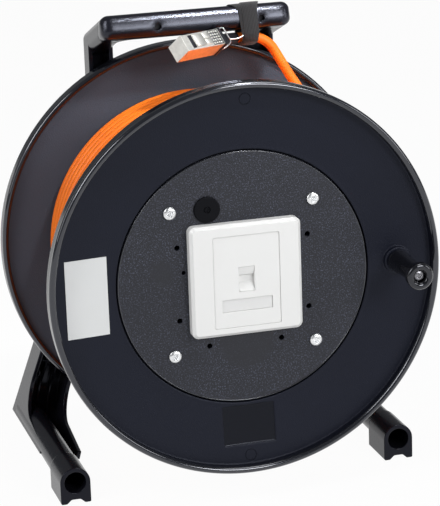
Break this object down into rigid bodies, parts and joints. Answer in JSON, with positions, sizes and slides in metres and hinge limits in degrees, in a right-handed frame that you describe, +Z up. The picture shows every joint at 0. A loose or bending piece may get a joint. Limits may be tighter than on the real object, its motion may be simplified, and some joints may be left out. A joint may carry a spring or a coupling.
{
  "type": "portable data cable reel",
  "caption": "Black plastic hand-carried reel of orange data cable: a crank-turned drum with a white data outlet on its front disc, on a ribbed stand with a carrying handle.",
  "frame": {"origin": "on the floor under the middle of the reel's bounding box", "axes": "+Z up, +Y from the drum's front disc back to the stand's heels, +X to the right seen from the front"},
  "size_m": [0.31, 0.27, 0.3594],
  "materials": {
    "black_moulding": "semi-gloss black moulding",
    "black_drum": "semi-gloss bluish black",
    "grained_disc": "finely grained dark grey",
    "cable_jacket": "satin orange jacket",
    "strap_fabric": "black hook-and-loop band",
    "plug_metal": "bright die-cast metal",
    "boot_plastic": "matt black",
    "white_plastic": "glossy white",
    "strip_plastic": "clear strip over white",
    "sticker": "bare white sticker",
    "steel": "zinc-plated",
    "dark_steel": "blackened",
    "axle_plastic": "matt black"
  },
  "bodies": {
    "stand": {"stand": "black_moulding", "grip_cover": "black_moulding", "grip_screw_1": "dark_steel", "grip_screw_2": "dark_steel", "axle": "axle_plastic", "axle_washer": "steel", "axle_screw": "steel", "strap": "strap_fabric", "plug_shell": "plug_metal", "plug_latch": "plug_metal", "plug_collar": "boot_plastic", "plug_boot": "boot_plastic", "cord": "cable_jacket"},
    "drum": {"rear_flange": "black_drum", "barrel": "black_drum", "front_flange": "black_drum", "front_disc": "grained_disc", "disc_screw_1": "steel", "disc_screw_2": "steel", "disc_screw_3": "steel", "disc_screw_4": "steel", "grommet": "black_moulding", "outlet_frame": "white_plastic", "outlet_insert": "white_plastic", "outlet_shutter": "white_plastic", "outlet_strip": "strip_plastic", "label": "sticker", "winding": "cable_jacket", "crank_pin": "steel"},
    "knob": {"crank_knob": "black_moulding"}
  },
  "joints": [
    {"name": "drum_spin", "type": "hinge", "parent": "stand", "child": "drum", "pos_m": [0, 0, 0.17235], "axis": [0, 1, 0], "continuous": true},
    {"name": "knob_spin", "type": "hinge", "parent": "drum", "child": "knob", "pos_m": [0.1204, -0.103, 0.17345], "axis": [0, 1, 0], "continuous": true}
  ]
}
